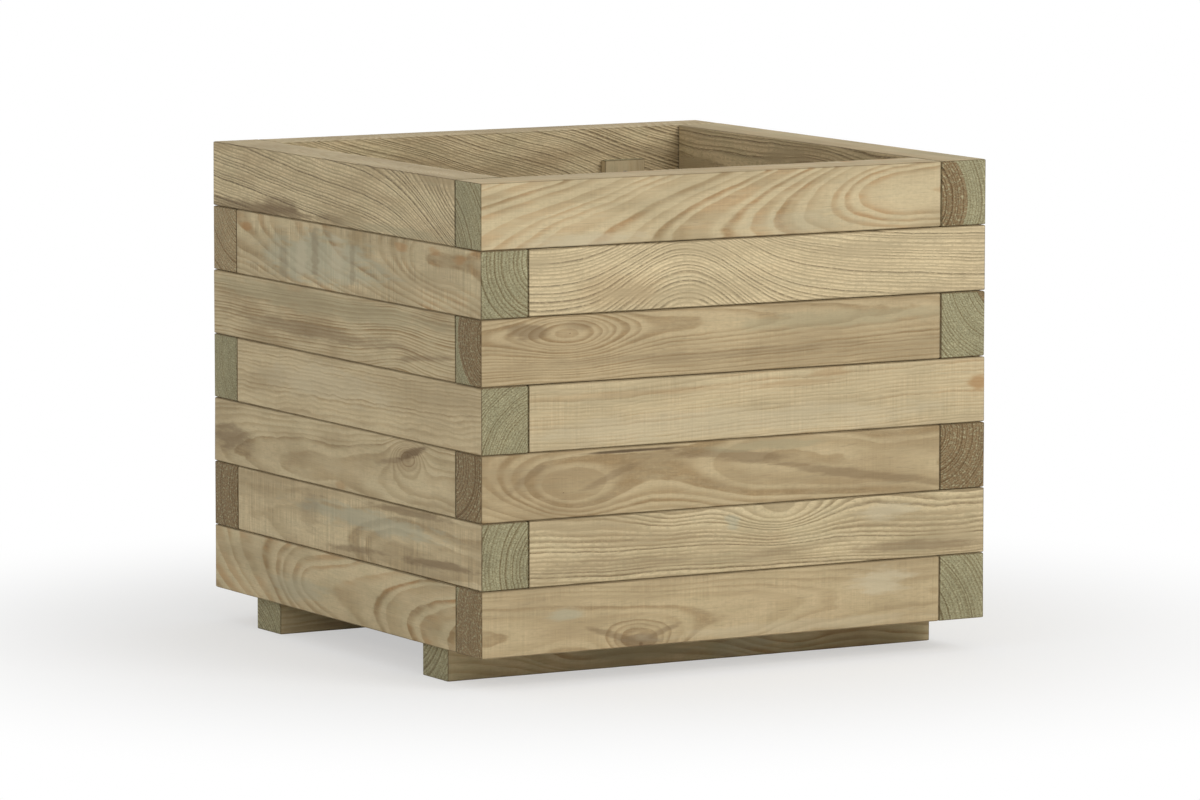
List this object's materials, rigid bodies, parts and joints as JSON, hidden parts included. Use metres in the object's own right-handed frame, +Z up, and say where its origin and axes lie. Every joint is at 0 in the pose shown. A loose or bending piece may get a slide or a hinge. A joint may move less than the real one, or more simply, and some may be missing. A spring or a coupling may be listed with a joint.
{
  "type": "raised garden bed",
  "caption": "Square timber raised bed, courses butted pinwheel fashion at the corners, standing on runners.",
  "frame": {"origin": "middle of the square footprint, on the ground under the runners", "axes": "+Z up, -Y towards the front wall, the runners lie along X"},
  "size_m": [0.5, 0.5, 0.4313],
  "materials": {
    "wall_timber": "sawn and planed pine, pressure treated, pale green-grey tint",
    "runner_timber": "sawn pine, pressure treated",
    "base_board": "sawn pine, pressure treated",
    "batten": "planed pine, pressure treated",
    "dowel": "turned hardwood",
    "screw": "dull plated steel"
  },
  "bodies": {
    "root": {"course_1_front": "wall_timber", "course_1_right": "wall_timber", "course_1_back": "wall_timber", "course_1_left": "wall_timber", "course_2_front": "wall_timber", "course_2_right": "wall_timber", "course_2_back": "wall_timber", "course_2_left": "wall_timber", "course_3_front": "wall_timber", "course_3_right": "wall_timber", "course_3_back": "wall_timber", "course_3_left": "wall_timber", "course_4_front": "wall_timber", "course_4_right": "wall_timber", "course_4_back": "wall_timber", "course_4_left": "wall_timber", "course_5_front": "wall_timber", "course_5_right": "wall_timber", "course_5_back": "wall_timber", "course_5_left": "wall_timber", "course_6_front": "wall_timber", "course_6_right": "wall_timber", "course_6_back": "wall_timber", "course_6_left": "wall_timber", "course_7_front": "wall_timber", "course_7_right": "wall_timber", "course_7_back": "wall_timber", "course_7_left": "wall_timber", "dowels_joint_1": "dowel", "dowels_joint_2": "dowel", "dowels_joint_3": "dowel", "dowels_joint_4": "dowel", "dowels_joint_5": "dowel", "dowels_joint_6": "dowel", "runner_front": "runner_timber", "runner_back": "runner_timber", "base_board_1": "base_board", "base_board_2": "base_board", "base_board_3": "base_board", "base_board_4": "base_board", "batten_front": "batten", "batten_right": "batten", "batten_back": "batten", "batten_left": "batten", "runner_screws": "screw", "board_screws": "screw", "batten_screws": "screw"}
  },
  "joints": []
}
